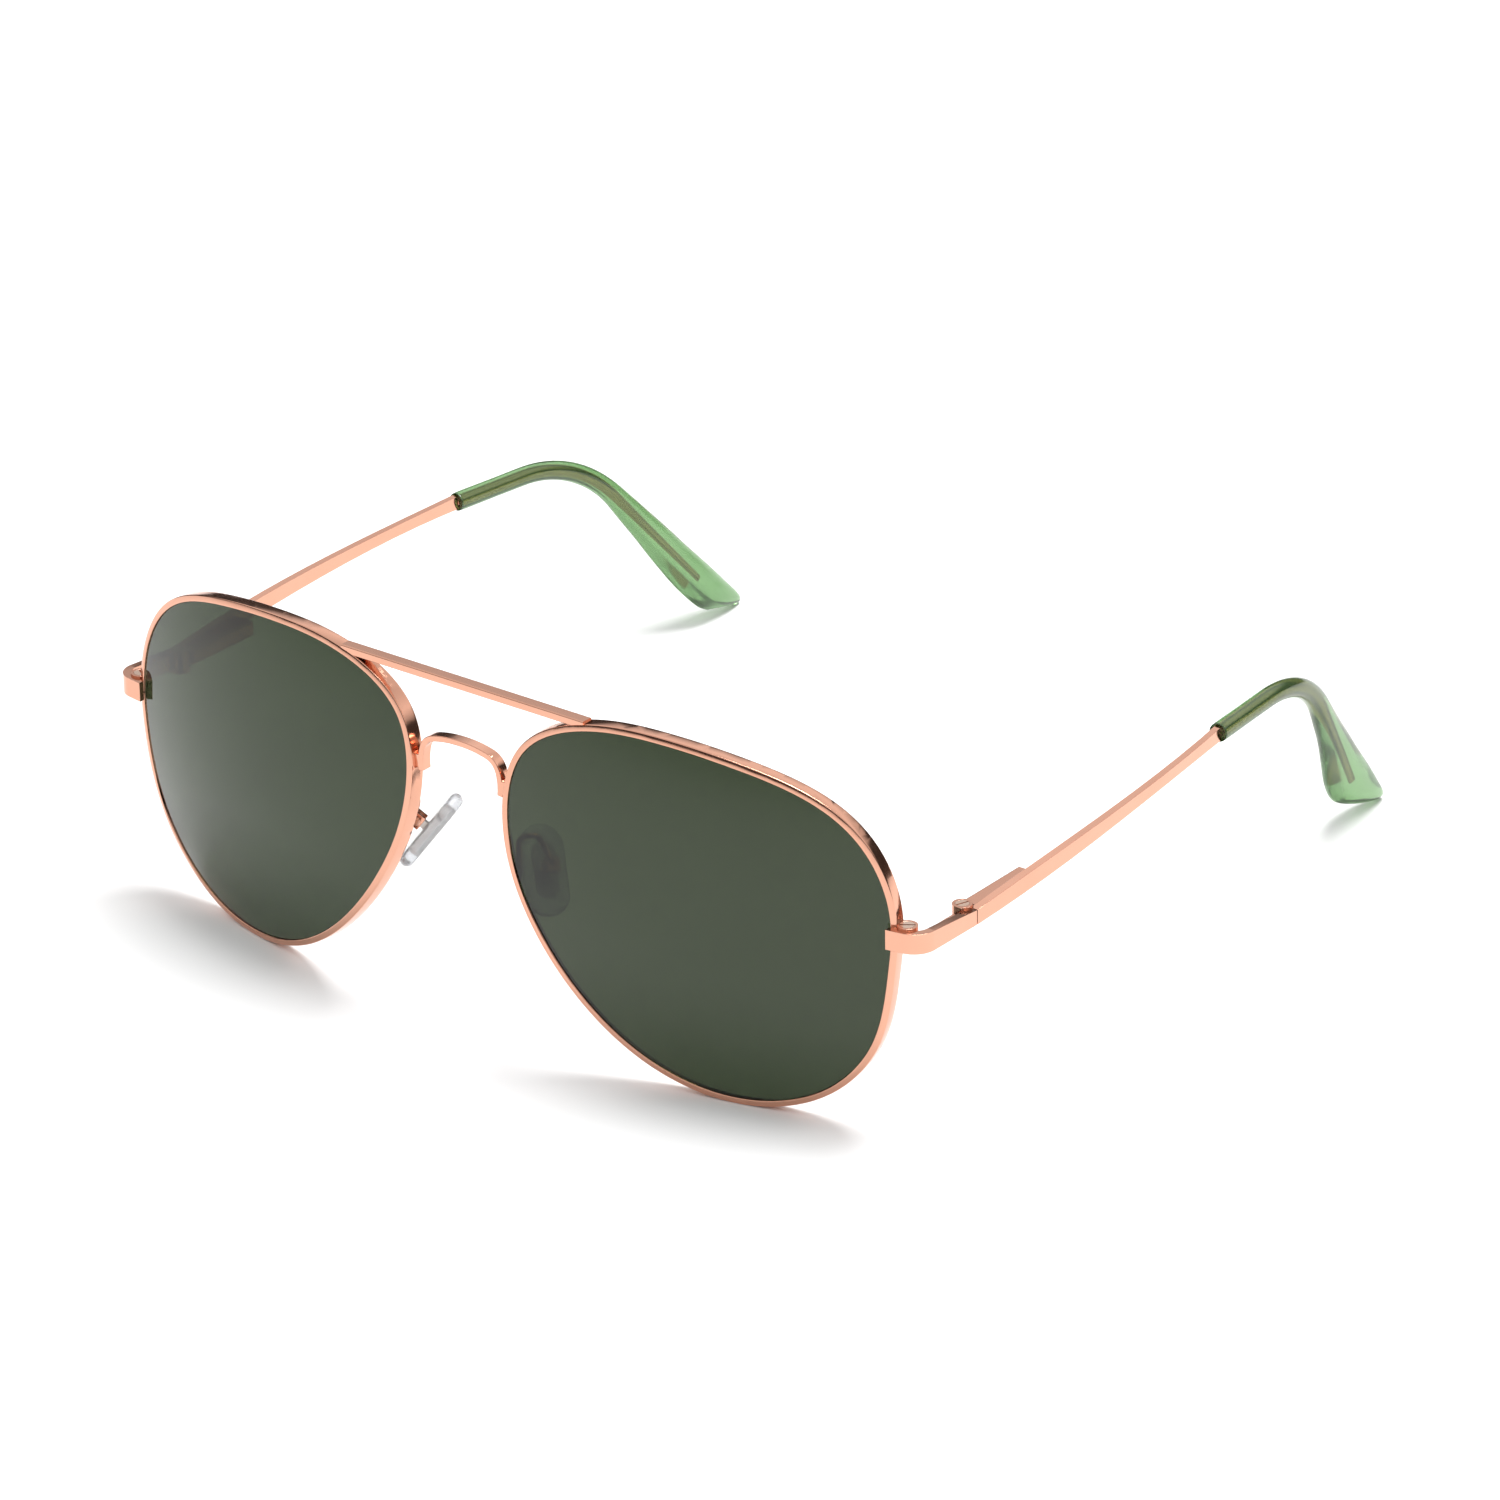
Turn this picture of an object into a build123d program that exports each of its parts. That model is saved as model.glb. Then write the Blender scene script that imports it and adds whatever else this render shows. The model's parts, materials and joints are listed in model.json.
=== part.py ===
from build123d import *
from math import cos, radians, sin
import os

# Aviator sunglasses with a double bridge, in millimetres.
# +X is the wearer's left, -Y is the front, +Z is up. The pair stands on its lower rims and on the ends
# of its temple tips. Every piece is modelled with the origin between the lens centres, then all of them
# are moved by STAND, which puts the origin under the middle of the pair, on the surface it stands on.

# ---- Driving dimensions ----
LENS_CENTRE_X = 39.25       # half the distance between the lens centres
FACE_FORM_DEG = 10.6        # how far each lens turns back round the face
BASE_RADIUS = 100.0         # outer radius of the lens and rim curve
# The opening of the left rim, seen square on: u outwards, v up, from the lens centre.
EYE_OUTLINE = [(26.8, 9.2), (18.8, 18.6), (7.9, 22.3), (-2.6, 23.7), (-14.5, 23.4), (-27.3, 17.4),
               (-29.4, 3.5), (-24.2, -8.3), (-17.1, -16.9), (-8.3, -23.3), (2.9, -26.5),
               (15.1, -24.3), (24.4, -15.5), (27.6, -3.2)]
RIM_WIDTH = 0.95            # of the rim wire, seen from the front
RIM_DEPTH = 2.0             # of the rim wire, front to back
RIM_EDGE = 0.16             # rounding of the wire's long edges
GROOVE_DEPTH = 0.5
GROOVE_FRONT = 0.75         # from the rim's front face to the groove
GROOVE_WIDTH = 0.65
LENS_RECESS = 0.25          # lens front behind the rim's front face
LENS_THICKNESS = 1.6
LENS_GAP = 0.04             # between lens and rim

BRIDGE_THICK = 0.85         # of the lower bridge's ribbon
BRIDGE_FRONT_Y = 0.3
BRIDGE_BACK_Y = 1.95
BROW_BAR_Z = (23.1, 24.25)  # underside and top of the upper bar
BROW_BAR_Y = (1.0, 2.85)
BROW_BAR_HALF = 21.2        # half its length

STRIP_THICK = 1.2           # of the end piece and of the temple's front end
STRIP_FACE_X = 71.25        # outer face of the strip along the side of the head
SEAM_Y = 21.3               # where the end piece stops and the temple starts
SEAM_GAP = 0.15
STRIP_BOTTOM_Z = 0.88
HINGE_X = 69.1
HINGE_Y = 20.9
HINGE_Z = 1.97              # mid-height of the barrels
BARREL_R = 1.4
HINGE_HEIGHT = 3.3
EYE_HEIGHT = 1.3            # the slider's middle barrel
HINGE_SCREW_R = 0.5
RUN_GAP = 0.06              # running clearance between moving faces

SHANK_X = 68.95             # the sliding shank's axis runs along Y
SHANK_R = 0.4
CASE_WIDTH = 2.1
CASE_Y = (22.45, 35.0)
CASE_BORE_R = 0.75
STOP_LENGTH = 1.0
NUT_LENGTH = 1.0
NUT_R = 0.68
SLIDER_TRAVEL = 2.0
SPRING_WIRE = 0.24          # side of the spring's square wire
SPRING_TURNS = 12

TEMPLE_END_Y = 81.1         # where the bar stops, at the mouth of the temple tip
TIP_START = (68.43, TEMPLE_END_Y, 5.95)
TIP_CORNER = (66.0, 105.6, 5.6)
TIP_END = (58.5, 131.4, -26.9)
TIP_BEND_R = 24.0
TIP_SLEEVE_D = 2.8
# The paddle below the bend: distance down from the corner, forward offset, width, thickness, how far the
# section leans back from square until it is the slanting sole, and how far its rear edge twists outwards,
# both in degrees.
PADDLE = [(9.1, 0.15, 3.4, 2.9, 0, 0), (15.1, 0.0, 4.3, 2.95, 4, 2), (20.5, 0.0, 5.3, 3.0, 10, 6),
          (27.4, 0.05, 7.5, 3.1, 28, 13), (34.8, -0.1, 10.9, 3.1, 43, 18), (39.25, -0.3, 12.5, 2.9, 49, 20),
          (40.75, -0.2, 11.4, 2.2, 50, 20), (41.55, -0.1, 8.6, 1.1, 50, 20)]
CORE_R = 0.55               # core wire inside the temple tip
CORE_LENGTH = 33.5          # down from the corner to the wire's end
SLEEVE_MOUTH = (0.9, 4.0)   # radius and depth of the open mouth of the sleeve

PAD_CENTRE = (10.3, 5.9, -2.45)
PAD_LONG = (-0.48, 0.40, 0.78)      # up along the pad
PAD_FACING = (-0.78, 0.33, -0.65)   # out of the face that rests on the nose
PAD_SIZE = (12.9, 6.3, 1.95)        # along, across, thick
PAD_SCREW_BACK = 2.4                # from the pad's middle back to its screw
PAD_SCREW_R = 0.35
PAD_WIRE_R = 0.42

BLOCK_X = 67.75             # closing block, behind the end piece
BLOCK_Y = 10.65
BLOCK_R = 1.45
BLOCK_Z = (0.5, 2.0, 4.1)   # bottom, split, top
BLOCK_SPLIT = 0.25
CLOSING_SCREW_R = 0.6

FLOOR_Z = -27.52            # lowest point of the rims and of the temple tips
MIDDLE_Y = 67.42            # half-way between the front and the ends of the tips
STAND = Location((0, -MIDDLE_Y, -FLOOR_Z))


# ---- Helpers ----
def upright(radius, z_low, z_high, x, y):
    """A vertical cylinder between two heights."""
    return Pos(x, y, z_low) * Cylinder(radius, z_high - z_low, align=(Align.CENTER, Align.CENTER, Align.MIN))


def along_y(radius, y_low, y_high, x, z):
    """A cylinder along Y between two depths."""
    base = Plane(origin=(x, y_low, z), x_dir=(1, 0, 0), z_dir=(0, 1, 0))
    return extrude(base * Circle(radius), amount=y_high - y_low)


def block(x, y, z):
    """A box from its three (low, high) ranges."""
    size = (x[1] - x[0], y[1] - y[0], z[1] - z[0])
    middle = ((x[0] + x[1]) / 2, (y[0] + y[1]) / 2, (z[0] + z[1]) / 2)
    return Pos(*middle) * Box(*size)


def biggest(part):
    """The largest solid of a part, without the crumbs that a cut leaves."""
    return max(part.solids(), key=lambda solid: solid.volume)


def slotted_screw(head_r, head_h, shank_r, length):
    """A countersunk-flat screw, its head's top at z = 0 and its shank downwards."""
    head = upright(head_r, -head_h, 0, 0, 0)
    shank = upright(shank_r, -length, -head_h, 0, 0)
    slot = block((-head_r, head_r), (-0.13, 0.13), (-head_h * 0.45, 0.1))
    return head + shank - slot


# ---- Rims and lenses ----
def eye_plane(side):
    """Plane of the lens on one side, 1 for the left and -1 for the right, facing forwards."""
    turn = radians(FACE_FORM_DEG)
    return Plane(origin=(side * LENS_CENTRE_X, 0, 0), x_dir=(cos(turn), side * sin(turn), 0),
                 z_dir=(side * sin(turn), -cos(turn), 0))


def eye_outline(grow, side):
    """The closed outline of the opening, grown outwards by a distance.

    The left one runs anticlockwise, so outwards is to the right of its direction.
    """
    wire = Spline(*[(side * u, v) for u, v in EYE_OUTLINE], periodic=True)
    count = len(EYE_OUTLINE)
    points = []
    for step in range(count):
        at = wire.position_at(step / count)
        along = wire.tangent_at(step / count) * side
        points.append((at.X + along.Y * grow, at.Y - along.X * grow))
    return make_face(Spline(*points, periodic=True))


def shell(front, back, side=1):
    """The space between two depths behind the rim's curved front face."""
    plane = eye_plane(side)
    centre = plane.origin - plane.z_dir * BASE_RADIUS
    return Pos(*centre) * (Sphere(BASE_RADIUS - front) - Sphere(BASE_RADIUS - back))


def eye_column(grow, side=1):
    """The outline run straight through the shell along the lens axis."""
    face = eye_plane(side) * eye_outline(grow, side)
    return extrude(face, amount=-14) + extrude(face, amount=4)


def rim(side):
    """Grooved wire round the lens, parted where the closing block holds it together."""
    ring = (eye_column(RIM_WIDTH, side) - eye_column(0, side)) & shell(0, RIM_DEPTH, side)
    ring = fillet(ring.edges().filter_by(lambda edge: edge.length > 50), RIM_EDGE)
    groove = eye_column(GROOVE_DEPTH, side) & shell(GROOVE_FRONT, GROOVE_FRONT + GROOVE_WIDTH, side)
    cut_x = sorted((side * 60, side * 70))
    split = block(cut_x, (4, 14), (BLOCK_Z[1] - BLOCK_SPLIT / 2, BLOCK_Z[1] + BLOCK_SPLIT / 2))
    return ring - groove - split


def lens(side):
    """Curved lens with the bevel that sits in the rim's groove."""
    body = eye_column(-LENS_GAP, side) & shell(LENS_RECESS, LENS_RECESS + LENS_THICKNESS, side)
    groove = (GROOVE_FRONT + LENS_GAP, GROOVE_FRONT + GROOVE_WIDTH - LENS_GAP)
    return body + (eye_column(GROOVE_DEPTH - LENS_GAP, side) & shell(*groove, side))


# ---- Bridges ----
def ribbon(middle, thickness):
    """A flat face that follows a line, half its thickness to each side."""
    steps = 16
    left = []
    right = []
    for step in range(steps + 1):
        at = middle.position_at(step / steps)
        along = middle.tangent_at(step / steps)
        left.append((at.X - along.Y * thickness / 2, at.Y + along.X * thickness / 2))
        right.append((at.X + along.Y * thickness / 2, at.Y - along.X * thickness / 2))
    return make_face([Spline(*left), Line(left[-1], right[-1]), Spline(*right), Line(right[0], left[0])])


def bridge():
    """Lower bridge: a ribbon bent over the nose, its legs soldered to the rims."""
    half = [(6.95, 9.55), (6.85, 12.2), (5.9, 14.3), (4.0, 15.1)]
    outline = [(x, z) for x, z in half] + [(0, 15.5)] + [(-x, z) for x, z in reversed(half)]
    arch = Plane.XZ.offset(-BRIDGE_FRONT_Y) * ribbon(Spline(*outline), BRIDGE_THICK)
    solid = extrude(arch, amount=BRIDGE_FRONT_Y - BRIDGE_BACK_Y)
    solder = block((7.0, 8.6), (BRIDGE_FRONT_Y, BRIDGE_BACK_Y - 0.4), (9.9, 11.9))
    column = eye_column(RIM_WIDTH)
    for piece, cut in ((solder, column), (mirror(solder, about=Plane.YZ), mirror(column, about=Plane.YZ))):
        solid = solid + piece - cut
    return biggest(solid)


def brow_bar():
    """Upper bar, straight across, its ends soldered on top of the rims."""
    bar = block((-BROW_BAR_HALF, BROW_BAR_HALF), BROW_BAR_Y, BROW_BAR_Z)
    bar = fillet(bar.edges().filter_by(Axis.X), 0.2)
    column = eye_column(RIM_WIDTH)
    return biggest(bar - column - mirror(column, about=Plane.YZ))


# ---- Closing block, end piece and front hinge leaf ----
def closing_blocks():
    """Upper and lower halves of the threaded block that draws the rim closed round the lens."""
    bottom, split, top = BLOCK_Z
    halves = []
    for low, high in ((split + BLOCK_SPLIT / 2, top), (bottom, split - BLOCK_SPLIT / 2)):
        half = upright(BLOCK_R, low, high, BLOCK_X, BLOCK_Y)
        half = half + block((65.6, BLOCK_X), (BLOCK_Y - 0.9, BLOCK_Y + 0.9), (low, high))
        half = half - eye_column(RIM_WIDTH)
        half = half - upright(CLOSING_SCREW_R + 0.02, low - 1, high + 1, BLOCK_X, BLOCK_Y)
        halves.append(biggest(half))
    halves[0] = halves[0] - upright(1.02, top - 0.7, top + 1, BLOCK_X, BLOCK_Y)
    return halves


def closing_screw():
    """Slotted screw down through both halves of the closing block."""
    length = BLOCK_Z[2] - BLOCK_Z[0] - 0.2
    screw = slotted_screw(1.0, 0.7, CLOSING_SCREW_R, length)
    return Pos(BLOCK_X, BLOCK_Y, BLOCK_Z[2]) * Rot(0, 0, 35) * screw


def strip_profile():
    """Side view of the end piece: level underneath, its top dropping towards the seam."""
    points = [(6, 3.8), (12, 3.75), (17, 3.4), (SEAM_Y, 3.05), (SEAM_Y, STRIP_BOTTOM_Z), (6, STRIP_BOTTOM_Z)]
    side = make_face(Polyline(*points, close=True))
    return extrude(Plane.YZ.offset(60) * side, amount=20)


def end_piece(blocks, leaf):
    """Strip from the rim's front, round the corner and back to the hinge."""
    corner = (STRIP_FACE_X, 9.05)
    start = (65.9, 8.2)
    outer = FilletPolyline(start, corner, (STRIP_FACE_X, SEAM_Y), radius=3.4)
    inner = FilletPolyline((start[0], start[1] + STRIP_THICK), (corner[0] - STRIP_THICK, corner[1] + STRIP_THICK),
                           (STRIP_FACE_X - STRIP_THICK, SEAM_Y), radius=3.4 - STRIP_THICK)
    ends = [Line(outer @ 0, inner @ 0), Line(outer @ 1, inner @ 1)]
    plan = make_face(outer.edges() + inner.edges() + ends)
    strip = extrude(plan, amount=10) & strip_profile()
    swing = upright(BARREL_R + RUN_GAP, HINGE_Z - EYE_HEIGHT / 2 - RUN_GAP,
                    HINGE_Z + EYE_HEIGHT / 2 + RUN_GAP, HINGE_X, HINGE_Y)
    ring = eye_column(RIM_WIDTH) & shell(0, RIM_DEPTH)
    screw_way = upright(BLOCK_R, BLOCK_Z[0], BLOCK_Z[2], BLOCK_X, BLOCK_Y)
    return biggest(strip - ring - blocks[0] - blocks[1] - screw_way - leaf - swing)


def hinge_leaf():
    """Two barrels on a plate soldered inside the end piece; the slider's barrel turns between them."""
    bottom = HINGE_Z - HINGE_HEIGHT / 2
    top = HINGE_Z + HINGE_HEIGHT / 2
    face = STRIP_FACE_X - STRIP_THICK
    leaf = upright(BARREL_R, bottom, top, HINGE_X, HINGE_Y)
    leaf = leaf + block((face - 0.75, face), (15.2, HINGE_Y), (STRIP_BOTTOM_Z + 0.1, 3.0))
    leaf = leaf + block((HINGE_X, face), (HINGE_Y - BARREL_R, HINGE_Y), (bottom, top))
    gap = (HINGE_Z - EYE_HEIGHT / 2 - RUN_GAP, HINGE_Z + EYE_HEIGHT / 2 + RUN_GAP)
    leaf = leaf - upright(BARREL_R + RUN_GAP, *gap, HINGE_X, HINGE_Y)
    leaf = leaf - upright(HINGE_SCREW_R + 0.02, bottom - 1, top + 1, HINGE_X, HINGE_Y)
    return leaf - upright(0.97, top - 0.45, top + 1, HINGE_X, HINGE_Y)


def hinge_screw():
    """Slotted screw that is the temple's pivot, its head sunk in the top barrel."""
    screw = slotted_screw(0.95, 0.45, HINGE_SCREW_R, HINGE_HEIGHT)
    return Pos(HINGE_X, HINGE_Y, HINGE_Z + HINGE_HEIGHT / 2) * Rot(0, 0, 70) * screw


# ---- Sprung slider ----
SHANK_END_Y = CASE_Y[1] - 0.9


def hinge_slider():
    """Middle barrel with the shank that slides in the temple's spring case."""
    barrel = upright(BARREL_R - 0.02, HINGE_Z - EYE_HEIGHT / 2, HINGE_Z + EYE_HEIGHT / 2, HINGE_X, HINGE_Y)
    shank = along_y(SHANK_R, HINGE_Y + 0.8, SHANK_END_Y, SHANK_X, HINGE_Z)
    return barrel + shank - upright(HINGE_SCREW_R + RUN_GAP, 0, 4, HINGE_X, HINGE_Y)


def shank_nut():
    """Collar on the end of the shank that the spring pushes against."""
    nut = along_y(NUT_R, SHANK_END_Y - NUT_LENGTH, SHANK_END_Y, SHANK_X, HINGE_Z)
    return nut - along_y(SHANK_R, SHANK_END_Y - 2, SHANK_END_Y + 1, SHANK_X, HINGE_Z)


def spring_stop():
    """Bush fixed in the mouth of the case, which the shank slides through."""
    bush = along_y(CASE_BORE_R, CASE_Y[0], CASE_Y[0] + STOP_LENGTH, SHANK_X, HINGE_Z)
    return bush - along_y(SHANK_R + RUN_GAP, CASE_Y[0] - 1, CASE_Y[0] + 3, SHANK_X, HINGE_Z)


def slider_spring():
    """Coil spring of square wire round the shank, between the bush and the nut."""
    end_gap = SPRING_WIRE / 2 + 0.03
    start = CASE_Y[0] + STOP_LENGTH + end_gap
    length = SHANK_END_Y - NUT_LENGTH - end_gap - start
    coil = Helix(pitch=length / SPRING_TURNS, height=length, radius=SHANK_R + 0.08 + SPRING_WIRE / 2)
    section = Plane(origin=coil @ 0, x_dir=(1, 0, 0), z_dir=coil % 0) * Rectangle(SPRING_WIRE, SPRING_WIRE)
    wire = sweep(section, path=coil, is_frenet=True)
    return Pos(SHANK_X, start, HINGE_Z) * Rot(-90, 0, 0) * wire


def spring_case(bar):
    """Box soldered inside the temple that holds the spring."""
    x = (SHANK_X - CASE_WIDTH / 2, STRIP_FACE_X - STRIP_THICK + 0.3)
    front, back = CASE_Y
    side = make_face(Polyline((front, 0.95), (front, 3.05), (back, 3.2), (back, 1.0), close=True))
    case = extrude(Plane.YZ.offset(x[0]) * side, amount=x[1] - x[0])
    edges = case.edges().filter_by(lambda edge: edge.center().X < x[0] + 0.1)
    case = fillet(edges, 0.25)
    return case - along_y(CASE_BORE_R, 0, CASE_Y[1] - 0.5, SHANK_X, HINGE_Z) - bar


# ---- Temple ----
def tip_spine():
    """Middle line of the temple tip: straight, bent down behind the ear, straight to its end."""
    return FilletPolyline(TIP_START, TIP_CORNER, TIP_END, radius=TIP_BEND_R)


def bar_solid():
    """Flat bar: a gentle outward bow in plan, and a tapering, rising side view."""
    front = SEAM_Y + SEAM_GAP
    outer = ThreePointArc((STRIP_FACE_X, front), (71.55, 45), (69.0, TEMPLE_END_Y))
    inner = ThreePointArc((STRIP_FACE_X - STRIP_THICK, front), (70.4, 45), (68.0, TEMPLE_END_Y))
    ends = [Line(outer @ 0, inner @ 0), Line(outer @ 1, inner @ 1)]
    plan = extrude(make_face([outer, inner] + ends), amount=12)
    top = Spline((front, 3.05), (33, 4.25), (55, 5.65), (TEMPLE_END_Y, 7.0))
    bottom = Spline((front, STRIP_BOTTOM_Z), (33, 1.8), (48, 3.1), (TEMPLE_END_Y, 4.95))
    ends = [Line(top @ 0, bottom @ 0), Line(top @ 1, bottom @ 1)]
    side = make_face([top, bottom] + ends)
    bar = plan & extrude(Plane.YZ.offset(60) * side, amount=20)
    return bar - upright(BARREL_R + RUN_GAP, -2, 6, HINGE_X, HINGE_Y)


def core_wire():
    """Wire that runs on from the bar, bent and buried in the tip."""
    start = Vector(*TIP_START)
    corner = Vector(*TIP_CORNER)
    down = (Vector(*TIP_END) - corner).normalized()
    first = start - (corner - start).normalized() * 0.3
    path = FilletPolyline(first, corner, corner + down * CORE_LENGTH, radius=TIP_BEND_R)
    return sweep(Plane(origin=path @ 0, z_dir=path % 0) * Circle(CORE_R), path=path)


def oval(width, thick):
    """An oval in two halves, which keeps a loft through several of them from twisting."""
    halves = []
    for start, up in ((0, 1), (180, -1)):
        turns = [radians(start + step * 30) for step in range(7)]
        points = [(width / 2 * cos(turn), thick / 2 * sin(turn)) for turn in turns]
        halves.append(Spline(*points, tangents=[(0, up), (0, -up)]))
    return make_face(halves)


def temple_tip(arm):
    """Moulded sleeve: a tube at its mouth that widens into a flat paddle with a slanting sole."""
    spine = tip_spine()
    corner = Vector(*TIP_CORNER)
    down = (Vector(*TIP_END) - corner).normalized()
    through = down.cross(corner - Vector(*TIP_START)).normalized()
    forward = down.cross(through)
    sections = []
    for share, across in ((0.0, 1.0), (0.12, 1.0), (0.25, 1.03), (0.38, 1.1)):
        along = spine % share
        square_on = Plane(origin=spine @ share, x_dir=along.cross(through), z_dir=along)
        sections.append(square_on * oval(TIP_SLEEVE_D * across, TIP_SLEEVE_D))
    for distance, offset, width, thick, lean, twist in PADDLE:
        turn = radians(lean)
        level = forward * cos(radians(twist)) - through * sin(radians(twist))
        across = level * cos(turn) - down * sin(turn)
        along = down * cos(turn) + level * sin(turn)
        centre = corner + down * distance + forward * offset
        sections.append(Plane(origin=centre, x_dir=across, z_dir=along) * oval(width, thick))
    tip = loft(sections)
    mouth = Plane(origin=TIP_START, z_dir=spine % 0) * Circle(SLEEVE_MOUTH[0])
    tip = tip - extrude(mouth, amount=SLEEVE_MOUTH[1])
    return tip - arm


# ---- Nose pads ----
PAD_PLANE = Plane(origin=PAD_CENTRE, x_dir=PAD_LONG, z_dir=PAD_FACING)


def nose_pad(core):
    """Clear moulded pad, rounded all over."""
    length, width, thick = PAD_SIZE
    outline = PAD_PLANE.offset(-thick / 2) * RectangleRounded(length, width, width / 2 - 0.01)
    pad = extrude(outline, amount=thick)
    pad = fillet(pad.edges(), 0.85)
    return pad - core


def pad_core():
    """Plate moulded into the pad, with a lug that the pad screw passes through."""
    plate = extrude(PAD_PLANE.offset(-0.35) * RectangleRounded(8.0, 3.4, 1.6), amount=0.5)
    lug = PAD_PLANE * (Pos(0, 0, -PAD_SCREW_BACK / 2 - 0.2) * Box(1.1, 0.9, PAD_SCREW_BACK - 0.3))
    eye = PAD_PLANE * (Pos(0, 0, -PAD_SCREW_BACK) * Rot(90, 0, 0) * Cylinder(0.72, 0.9))
    hole = PAD_PLANE * (Pos(0, 0, -PAD_SCREW_BACK) * Rot(90, 0, 0) * Cylinder(PAD_SCREW_R + 0.05, 4))
    return plate + lug + eye - hole


def pad_box():
    """Small open box on the pad arm that the lug rocks in."""
    cheek_gap = 1.04
    back = PAD_SCREW_BACK + 1.25
    cup = PAD_PLANE * (Pos(0, 0, -(back + PAD_SCREW_BACK - 0.85) / 2) * Box(2.0, 1.9, back - PAD_SCREW_BACK + 0.85))
    room = PAD_PLANE * (Pos(0, 0, -PAD_SCREW_BACK + 0.6) * Box(3.0, cheek_gap, 3.1))
    hole = PAD_PLANE * (Pos(0, 0, -PAD_SCREW_BACK) * Rot(90, 0, 0) * Cylinder(PAD_SCREW_R + 0.01, 4))
    return cup - room - hole


def pad_screw():
    """Screw through the box and the lug."""
    screw = slotted_screw(0.62, 0.35, PAD_SCREW_R, 2.4)
    return PAD_PLANE * (Pos(0, -1.3, -PAD_SCREW_BACK) * Rot(90, 0, 0) * screw)


def pad_arm(box):
    """Wire looped back from the rim to the pad's box."""
    into_box = PAD_PLANE.origin - PAD_PLANE.z_dir * (PAD_SCREW_BACK + 1.0)
    path = FilletPolyline((10.7, 0.2, -2.6), (9.2, 2.2, 3.6), (11.2, 3.8, 3.9), into_box, radius=1.1)
    wire = sweep(Plane(origin=path @ 0, z_dir=path % 0) * Circle(PAD_WIRE_R), path=path)
    return biggest(wire - (eye_column(RIM_WIDTH) & shell(-1, RIM_DEPTH)) - box)


# ---- Assembly ----
def left_side():
    """Every piece of the wearer's left half that has a mirror image, by name."""
    blocks = closing_blocks()
    leaf = hinge_leaf()
    bar = bar_solid()
    arm = bar + core_wire()
    core = pad_core()
    box = pad_box()
    return {
        "closing_block_upper": blocks[0],
        "closing_block_lower": blocks[1],
        "closing_screw": closing_screw(),
        "end_piece": end_piece(blocks, leaf),
        "hinge_leaf": leaf,
        "hinge_screw": hinge_screw(),
        "pad_arm": pad_arm(box),
        "pad_box": box,
        "pad_screw": pad_screw(),
        "nose_pad": nose_pad(core),
        "pad_core": core,
        "hinge_slider": hinge_slider(),
        "shank_nut": shank_nut(),
        "spring_stop": spring_stop(),
        "slider_spring": slider_spring(),
        "spring_case": spring_case(bar),
        "temple_arm": arm,
        "temple_tip": temple_tip(arm),
    }


def write(name, solid):
    placed = STAND * solid
    placed.label = name
    export_step(placed, f"parts/{name}.step")
    box = placed.bounding_box()
    low = f"{box.min.X:8.2f} {box.min.Y:8.2f} {box.min.Z:8.2f}"
    high = f"{box.max.X:8.2f} {box.max.Y:8.2f} {box.max.Z:8.2f}"
    print(f"{name:26s} {placed.volume:9.3f} mm3   from {low}   to {high}")


def main():
    os.makedirs("parts", exist_ok=True)
    write("bridge", bridge())
    write("brow_bar", brow_bar())
    for name, side in (("left", 1), ("right", -1)):
        write("rim_" + name, rim(side))
        write("lens_" + name, lens(side))
    for name, solid in left_side().items():
        write(name + "_left", solid)
        write(name + "_right", mirror(solid, about=Plane.YZ))


main()
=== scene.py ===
# %% [markdown]
# # Aviator sunglasses with a double bridge
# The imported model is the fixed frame: every size and every place below is the one it was designed with.
# This lesson gives each piece the surface that the real one has: plated wire, tinted lenses, clear nose
# pads, and temple tips of translucent green acetate with the core wire showing inside.

# %% Load the frame
import json
from math import cos, radians, sin, tau

import bmesh
import bpy
import numpy as np
from mathutils import Matrix, Vector


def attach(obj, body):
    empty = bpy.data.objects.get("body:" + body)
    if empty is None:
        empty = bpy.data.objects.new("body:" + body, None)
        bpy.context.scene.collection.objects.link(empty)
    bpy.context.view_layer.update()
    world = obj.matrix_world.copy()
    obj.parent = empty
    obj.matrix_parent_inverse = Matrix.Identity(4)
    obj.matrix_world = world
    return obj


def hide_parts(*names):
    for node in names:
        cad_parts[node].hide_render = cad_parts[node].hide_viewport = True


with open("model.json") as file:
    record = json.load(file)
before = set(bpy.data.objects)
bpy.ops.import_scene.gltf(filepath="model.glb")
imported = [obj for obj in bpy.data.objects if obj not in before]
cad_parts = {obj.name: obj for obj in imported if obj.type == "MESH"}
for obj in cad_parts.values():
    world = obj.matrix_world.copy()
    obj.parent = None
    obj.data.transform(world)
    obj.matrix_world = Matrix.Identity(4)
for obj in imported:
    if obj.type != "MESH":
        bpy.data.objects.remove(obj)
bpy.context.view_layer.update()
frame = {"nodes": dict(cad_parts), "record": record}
MM = 0.001
SIDES = {"left": 1, "right": -1}

# %% [markdown]
# ## Three small helpers
# A colour is written as a hex value, which is sRGB, and the shader wants linear numbers. A node is added
# with its settings and its links in one call. A finished mesh becomes an object that rides on a body.

# %% Helpers
def linear(hex_colour, alpha=1.0):
    """An sRGB hex colour as linear red, green, blue and alpha."""
    parts = [int(hex_colour[i:i + 2], 16) / 255 for i in (1, 3, 5)]
    return [p / 12.92 if p <= 0.04045 else ((p + 0.055) / 1.055) ** 2.4 for p in parts] + [alpha]


def add(tree, kind, settings=(), inputs=()):
    """Adds one node. An input is a value, or another node's output to link from."""
    node = tree.nodes.new(kind)
    for name, value in dict(settings).items():
        setattr(node, name, value)
    for key, value in dict(inputs).items():
        if isinstance(value, bpy.types.NodeSocket):
            tree.links.new(value, node.inputs[key])
        else:
            node.inputs[key].default_value = value
    return node


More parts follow.
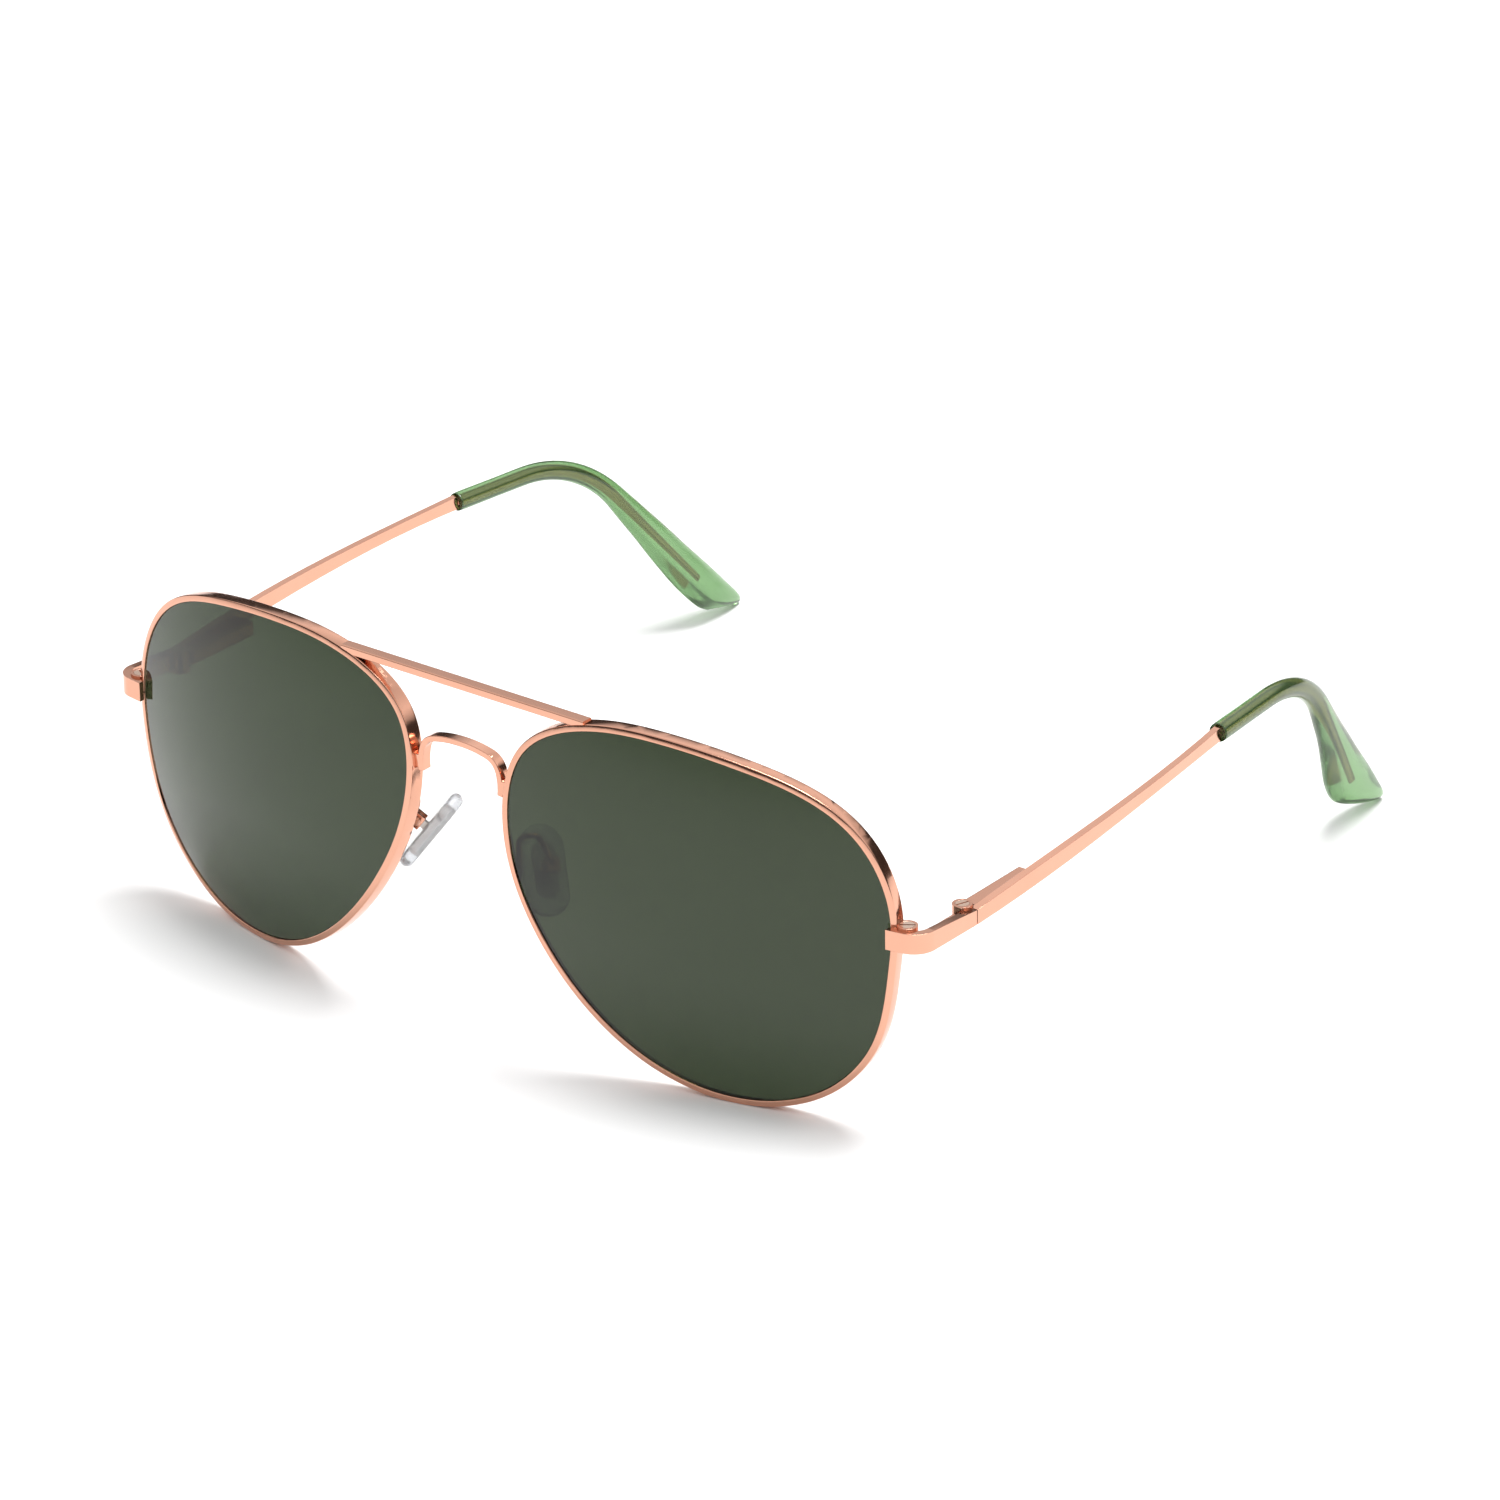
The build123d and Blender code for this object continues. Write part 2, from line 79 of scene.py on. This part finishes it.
def piece(name, mesh, body, material, replaced=()):
    """Puts a finished mesh in the scene, riding on its body, in place of its CAD nodes."""
    obj = bpy.data.objects.new(name, mesh)
    bpy.context.scene.collection.objects.link(obj)
    mesh.materials.clear()
    mesh.materials.append(material)
    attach(obj, body)
    if replaced:
        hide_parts(*replaced)
    return obj


# %% [markdown]
# ## The camera
# A long lens from well away keeps the two lenses nearly the same size. The view comes from the wearer's
# left and from above, with the head of the camera rolled by less than a degree.

# %% Camera
VIEW_AZIMUTH = radians(38.39)
VIEW_ELEVATION = radians(24.93)
VIEW_ROLL = radians(-0.83)
VIEW_DISTANCE = 1.029
FOCAL_MM, SENSOR_MM = 182.25, 36
LENS_LEVEL = Vector((0, -67.42, 27.52)) * MM       # midway between the lens centres
AIM_RIGHT, AIM_UP = 39.2 * MM, 13.3 * MM           # the aim, to the right of that point and above it

back = Vector((sin(VIEW_AZIMUTH) * cos(VIEW_ELEVATION), -cos(VIEW_AZIMUTH) * cos(VIEW_ELEVATION),
               sin(VIEW_ELEVATION)))
level = Vector((cos(VIEW_AZIMUTH), sin(VIEW_AZIMUTH), 0))
upright = back.cross(level)
right = cos(VIEW_ROLL) * level + sin(VIEW_ROLL) * upright
up = cos(VIEW_ROLL) * upright - sin(VIEW_ROLL) * level
camera = bpy.data.objects.new("camera", bpy.data.cameras.new("camera"))
camera.data.sensor_width = SENSOR_MM
camera.data.lens = FOCAL_MM
turned = Matrix((right, up, back)).transposed().to_4x4()
stand_point = LENS_LEVEL + VIEW_DISTANCE * back + AIM_RIGHT * right + AIM_UP * up
camera.matrix_world = Matrix.Translation(stand_point) @ turned
bpy.context.scene.collection.objects.link(camera)
bpy.context.scene.camera = camera
bpy.context.scene.view_settings.view_transform = "Standard"
print("camera at", [round(c, 3) for c in camera.matrix_world.translation])

# %% [markdown]
# ## Light and floor
# Polished metal shows the room more than itself. The room here is a white tent with a dark gap low down
# all round, so the wires carry a thin brown line between two bright ones. The floor is white card.

# %% World, lamps and floor
world = bpy.data.worlds.new("tent")
bpy.context.scene.world = world
world.use_nodes = True
tree = world.node_tree
tree.nodes.clear()
place = add(tree, "ShaderNodeTexCoord")
height = add(tree, "ShaderNodeSeparateXYZ", inputs={0: place.outputs["Generated"]})
ramp = add(tree, "ShaderNodeValToRGB", inputs={0: height.outputs["Z"]})
stops = ramp.color_ramp.elements
stops[0].position, stops[0].color = 0.0, (0.06, 0.045, 0.04, 1)
stops[1].position, stops[1].color = 1.0, (1.0, 1.0, 1.0, 1)
for position, grey in ((0.3, 0.05), (0.4, 0.7), (0.56, 1.25), (0.8, 0.8)):
    stop = stops.new(position)
    stop.color = (grey, grey, grey, 1)
sky = add(tree, "ShaderNodeBackground", inputs={"Color": ramp.outputs["Color"], "Strength": 1.0})
add(tree, "ShaderNodeOutputWorld", inputs={"Surface": sky.outputs["Background"]})


def lamp(name, spot, target, width, power):
    """A soft square lamp that looks at a point."""
    data = bpy.data.lights.new(name, "AREA")
    data.size = width
    data.energy = power
    obj = bpy.data.objects.new(name, data)
    obj.location = spot
    obj.rotation_euler = (Vector(target) - Vector(spot)).to_track_quat("-Z", "Y").to_euler()
    bpy.context.scene.collection.objects.link(obj)


lamp("top_softbox", (0.1, 0.15, 0.9), (0, 0, 0), 0.45, 8.0)

card = bpy.data.meshes.new("floor")
reach = 4.0
corners = [(-reach, -reach, 0), (reach, -reach, 0), (reach, reach, 0), (-reach, reach, 0)]
card.from_pydata(corners, [], [(0, 1, 2, 3)])
floor = bpy.data.objects.new("floor", card)
floor.location.z = -0.02 * MM
bpy.context.scene.collection.objects.link(floor)
paper = bpy.data.materials.new("white_card")
paper.use_nodes = True
matt = paper.node_tree.nodes["Principled BSDF"]
matt.inputs["Base Color"].default_value = linear("#F6F6F6")
matt.inputs["Roughness"].default_value = 0.9
card.materials.append(paper)


# %% [markdown]
# ## Metals
# The frame is a copper alloy wire, polished and then plated with rose gold. Plating is smooth but never
# perfect: it keeps a faint orange peel and is a little duller where it has been handled.

# %% Metal finishes
def metal(name, colour, roughness, grain_mm, grain_depth):
    """Polished metal: its colour and roughness drift slowly, and its surface has a faint peel."""
    made = bpy.data.materials.new(name)
    made.use_nodes = True
    tree = made.node_tree
    shader = tree.nodes["Principled BSDF"]
    place = add(tree, "ShaderNodeTexCoord")
    drift = add(tree, "ShaderNodeTexNoise", {"noise_dimensions": "3D"},
                {"Vector": place.outputs["Object"], "Scale": 1 / (9 * MM), "Detail": 3.0})
    peel = add(tree, "ShaderNodeTexNoise", {"noise_dimensions": "3D"},
               {"Vector": place.outputs["Object"], "Scale": 1 / (grain_mm * MM), "Detail": 2.0})
    tint = add(tree, "ShaderNodeMix", {"data_type": "RGBA"},
               {"Factor": drift.outputs["Fac"], 6: linear(colour[0]), 7: linear(colour[1])})
    gloss = add(tree, "ShaderNodeMapRange",
                inputs={"Value": drift.outputs["Fac"], "To Min": roughness * 0.7, "To Max": roughness * 1.4})
    bump = add(tree, "ShaderNodeBump", inputs={"Height": peel.outputs["Fac"], "Strength": 0.5,
                                               "Distance": grain_depth * MM})
    shader.inputs["Metallic"].default_value = 1.0
    tree.links.new(tint.outputs[2], shader.inputs["Base Color"])
    tree.links.new(gloss.outputs["Result"], shader.inputs["Roughness"])
    tree.links.new(bump.outputs["Normal"], shader.inputs["Normal"])
    return made


ROSE_GOLD = metal("rose_gold_plating", ("#DDA78F", "#D59D84"), 0.13, 1.2, 0.003)
SCREW_STEEL = metal("plated_screw_steel", ("#E8CDBD", "#DCBBA6"), 0.2, 0.8, 0.006)
PAD_METAL = metal("nickel_plate_in_pad", ("#E2DDD8", "#D2CCC6"), 0.3, 3.0, 0.001)
SPRING_STEEL = metal("drawn_spring_wire", ("#B9B9BC", "#9C9CA2"), 0.3, 0.4, 0.004)


# %% [markdown]
# ## Clear and tinted plastics
# All three are cast or moulded plastics that let light through, so the shader refracts. The lens takes
# most of the light, as a sun lens does; the tips are green acetate; the pads are clear silicone.

# %% Plastic finishes
def clear(name, colours, roughness, ior, patch_mm, transmission=1.0):
    """A plastic that lets light through, its tint drifting between two colours."""
    made = bpy.data.materials.new(name)
    made.use_nodes = True
    tree = made.node_tree
    shader = tree.nodes["Principled BSDF"]
    place = add(tree, "ShaderNodeTexCoord")
    drift = add(tree, "ShaderNodeTexNoise", {"noise_dimensions": "3D"},
                {"Vector": place.outputs["Object"], "Scale": 1 / (patch_mm * MM), "Detail": 1.0})
    tint = add(tree, "ShaderNodeMix", {"data_type": "RGBA"},
               {"Factor": drift.outputs["Fac"], 6: linear(colours[0]), 7: linear(colours[1])})
    tree.links.new(tint.outputs[2], shader.inputs["Base Color"])
    shader.inputs["Transmission Weight"].default_value = transmission
    shader.inputs["Roughness"].default_value = roughness
    shader.inputs["IOR"].default_value = ior
    return made


SUN_LENS = clear("tinted_lens_nylon", ("#2F3A26", "#28311F"), 0.02, 1.42, 60)
GREEN_TIP = clear("green_acetate", ("#82AC74", "#6E9A62"), 0.1, 1.47, 14, 0.85)
CLEAR_PAD = clear("clear_silicone", ("#EEF0F3", "#E2E5EA"), 0.22, 1.41, 5, 0.75)


# %% [markdown]
# ## Polished metal pieces
# A CAD node is loose triangles, each with its own flat normal. A copy is merged into one skin, its flat
# faces are joined up again, and its sharp edges get a tiny rounding, as tumbling and plating leave them.

# %% Metal pieces from their CAD nodes
def skin(node, flat_deg=0.5):
    """A merged copy of a CAD node's mesh, its coplanar triangles joined."""
    mesh = frame["nodes"][node].data.copy()
    shape = bmesh.new()
    shape.from_mesh(mesh)
    bmesh.ops.remove_doubles(shape, verts=shape.verts, dist=0.002 * MM)
    bmesh.ops.dissolve_limit(shape, angle_limit=radians(flat_deg), verts=shape.verts, edges=shape.edges)
    for face in shape.faces:
        face.smooth = True
    shape.to_mesh(mesh)
    shape.free()
    return mesh


def rounded(obj, width_mm, limit_deg=32):
    """Rounds every edge that is sharper than the limit, and evens the normals out."""
    bevel = obj.modifiers.new("edge", "BEVEL")
    bevel.width = width_mm * MM
    bevel.segments = 2
    bevel.limit_method = "ANGLE"
    bevel.angle_limit = radians(limit_deg)
    bevel.use_clamp_overlap = True
    obj.modifiers.new("normals", "WEIGHTED_NORMAL").keep_sharp = True


METAL_PIECES = {
    "bridge": 0.12, "brow_bar": 0.08, "rim": 0.0, "end_piece": 0.14, "hinge_leaf": 0.1,
    "closing_block_upper": 0.12, "closing_block_lower": 0.12, "pad_arm": 0.0, "pad_box": 0.06,
    "hinge_slider": 0.06, "spring_case": 0.08, "temple_arm": 0.14,
}
bodies = frame["record"]["behaviour"]["bodies"]
body_of_node = {node: body for body, nodes in bodies.items() for node in nodes}
for base, edge in METAL_PIECES.items():
    for node in [n for n in frame["nodes"] if n == base or n in (base + "_left", base + "_right")]:
        made = piece(node + "_plated", skin(node), body_of_node[node], ROSE_GOLD, [node])
        made.data.set_sharp_from_angle(angle=radians(32))
        if edge:
            rounded(made, edge)
FINISHES = {"closing_screw": SCREW_STEEL, "hinge_screw": SCREW_STEEL, "pad_screw": SCREW_STEEL,
            "shank_nut": SCREW_STEEL, "spring_stop": SCREW_STEEL, "slider_spring": SPRING_STEEL,
            "pad_core": PAD_METAL}
for base, finish in FINISHES.items():
    for side in SIDES:
        slots = frame["nodes"][f"{base}_{side}"].data.materials
        slots.clear()
        slots.append(finish)

# %% [markdown]
# ## Lenses
# A lens is two spherical faces and a bevelled edge. Its faces get the sphere's own normals, so a reflection
# runs across them without a ripple.

# %% Lenses
FACE_FORM = radians(10.6)
BASE_RADIUS = 100.0
LENS_CENTRE_X = 39.25
ON_THE_SPHERE = 0.98        # a face this well lined up with the sphere's normal belongs to it
for side, sign in SIDES.items():
    mesh = skin("lens_" + side, flat_deg=0.05)
    toward = Vector((sign * sin(FACE_FORM), -cos(FACE_FORM), 0))
    centre = LENS_LEVEL + (Vector((sign * LENS_CENTRE_X, 0, 0)) - toward * BASE_RADIUS) * MM
    normals = []
    for face in mesh.polygons:
        for corner in face.vertices:
            radial = (mesh.vertices[corner].co - centre).normalized()
            lined_up = radial.dot(face.normal)
            spherical = radial * (1 if lined_up > 0 else -1)
            normals.append(spherical if abs(lined_up) > ON_THE_SPHERE else face.normal.copy())
    mesh.normals_split_custom_set([tuple(n) for n in normals])
    piece("lens_" + side + "_tinted", mesh, "front", SUN_LENS, ["lens_" + side])

# %% [markdown]
# ## Moulded tips and pads
# Both are skinned from closed rings, one next to the other. The tip is closed round the end of the bar,
# and the core wire of the temple shows inside it. The pad is a flat lozenge with a soft edge.

# %% Rings into a closed skin
def gauge(x, y, z):
    """A place measured from the middle between the lens centres, in millimetres, in the model's frame."""
    return LENS_LEVEL + Vector((x, y, z)) * MM


def ring_skin(name, rings, sign):
    """A closed smooth mesh through equal rings of points, mirrored for the right side."""
    count = len(rings[0])
    points = [(point.x * sign, point.y, point.z) for ring in rings for point in ring]
    faces = []
    for start in range(0, len(points) - count, count):
        for k in range(count):
            after = (k + 1) % count
            faces.append((start + k, start + after, start + count + after, start + count + k))
    faces += [tuple(range(count)), tuple(range(len(points) - count, len(points)))]
    mesh = bpy.data.meshes.new(name)
    mesh.from_pydata(points, [], faces)
    shape = bmesh.new()
    shape.from_mesh(mesh)
    bmesh.ops.recalc_face_normals(shape, faces=shape.faces)
    for face in shape.faces:
        face.smooth = len(face.verts) < 5
    shape.to_mesh(mesh)
    shape.free()
    return mesh


# %% Temple tips
TIP_START = Vector((68.43, 81.1, 5.95))
TIP_CORNER = Vector((66.0, 105.6, 5.6))
TIP_END = Vector((58.5, 131.4, -26.9))
TIP_BEND_R = 24.0
SPOKES = 48
# Along the middle line, forward offset, width, thickness, and the section's lean and twist in degrees.
TIP_ROWS = np.array([
    (0.0, 0, 2.3, 2.3, 0, 0), (0.3, 0, 2.82, 2.8, 0, 0), (8.0, 0, 2.82, 2.8, 0, 0),
    (16.3, 0, 2.88, 2.8, 0, 0), (24.8, 0, 3.08, 2.8, 0, 0), (32.2, 0, 3.4, 2.9, 0, 0),
    (38.2, 0, 4.3, 2.95, 4, 2), (43.6, 0, 5.3, 3.0, 10, 6),
    (50.5, 0.05, 7.5, 3.1, 28, 13), (57.9, -0.1, 10.9, 3.1, 43, 18), (62.35, -0.3, 12.5, 2.9, 49, 20),
    (63.85, -0.2, 11.4, 2.2, 50, 20), (64.65, -0.1, 8.6, 1.1, 50, 20)])
level_run = (TIP_CORNER - TIP_START).normalized()
down = (TIP_END - TIP_CORNER).normalized()
bend = level_run.angle(down)
cut_back = TIP_BEND_R * np.tan(bend / 2)
first_run = (TIP_CORNER - TIP_START).length - cut_back
through = down.cross(level_run).normalized()
inward = level_run.cross(through)
inward = inward if inward.dot(down) > 0 else -inward


def on_spine(along):
    """Point and direction at a distance along the tip's middle line: straight, bend, straight."""
    if along <= first_run:
        return TIP_START + level_run * along, level_run
    turn = (along - first_run) / TIP_BEND_R
    if turn <= bend:
        start = TIP_START + level_run * first_run
        point = start + TIP_BEND_R * (level_run * sin(turn) + inward * (1 - cos(turn)))
        return point, level_run * cos(turn) + inward * sin(turn)
    return TIP_CORNER + down * (cut_back + along - first_run - TIP_BEND_R * bend), down


def smooth_row(rows, place):
    """A row between the rows of a table, on a curve that passes through all of them."""
    i = min(int(place), len(rows) - 2)
    t = place - i
    before, a, b, after = rows[max(i - 1, 0)], rows[i], rows[i + 1], rows[min(i + 2, len(rows) - 1)]
    return 0.5 * (2 * a + (b - before) * t + (2 * before - 5 * a + 4 * b - after) * t * t
                  + (3 * a - before - 3 * b + after) * t ** 3)


def tip_ring(along, offset, width, thick, lean, twist):
    """One oval round the middle line, leaning back from square, its rear edge twisted outwards."""
    point, heading = on_spine(along)
    forward = heading.cross(through)
    turn, leaning = radians(twist), radians(lean)
    level = forward * cos(turn) - through * sin(turn)
    facing = through * cos(turn) + forward * sin(turn)
    across = level * cos(leaning) - heading * sin(leaning)
    middle = point + forward * offset
    turns = [tau * k / SPOKES for k in range(SPOKES)]
    return [gauge(*(middle + across * (width / 2 * cos(t)) + facing * (thick / 2 * sin(t)))) for t in turns]


TIP_RINGS = 110
tip_rings = [tip_ring(*smooth_row(TIP_ROWS, place)) for place in np.linspace(0, len(TIP_ROWS) - 1, TIP_RINGS)]
for side, sign in SIDES.items():
    mesh = ring_skin("temple_tip_" + side, tip_rings, sign)
    piece("temple_tip_" + side + "_moulded", mesh, "temple_" + side, GREEN_TIP,
          ["temple_tip_" + side])

# %% Nose pads
PAD_CENTRE = Vector((10.3, 5.9, -2.45))
PAD_LONG = Vector((-0.48, 0.40, 0.78))
PAD_FACING = Vector((-0.78, 0.33, -0.65)).normalized()
PAD_SIZE = (12.9, 6.3, 1.95)
PAD_EDGE = 0.9
PAD_SPOKES = 64
long_way = (PAD_LONG - PAD_FACING * PAD_LONG.dot(PAD_FACING)).normalized()
cross_way = PAD_FACING.cross(long_way)


def pad_ring(inset, lift):
    """A stadium outline drawn in from the pad's edge, at a height above its middle plane."""
    radius = PAD_SIZE[1] / 2 - inset
    reach = (PAD_SIZE[0] - PAD_SIZE[1]) / 2
    ring = []
    for k in range(PAD_SPOKES):
        turn = tau * k / PAD_SPOKES
        shift = reach * (1 if cos(turn) > 0 else -1)
        spot = PAD_CENTRE + long_way * (shift + radius * cos(turn)) + cross_way * (radius * sin(turn))
        ring.append(gauge(*(spot + PAD_FACING * lift)))
    return ring


half_thick = PAD_SIZE[2] / 2
soft_edge = [(PAD_EDGE * (1 - cos(a)), half_thick * sin(a)) for a in map(radians, range(-90, 91, 15))]
flat_back = [(inset, -half_thick) for inset in (2.9, 2.2, 1.5)]
dished_face = [(1.5, half_thick - 0.03), (2.2, half_thick - 0.09), (2.9, half_thick - 0.12)]
profile = flat_back + soft_edge + dished_face
for side, sign in SIDES.items():
    mesh = ring_skin("nose_pad_" + side, [pad_ring(*spot) for spot in profile], sign)
    piece("nose_pad_" + side + "_moulded", mesh, "pad_" + side, CLEAR_PAD,
          ["nose_pad_" + side])
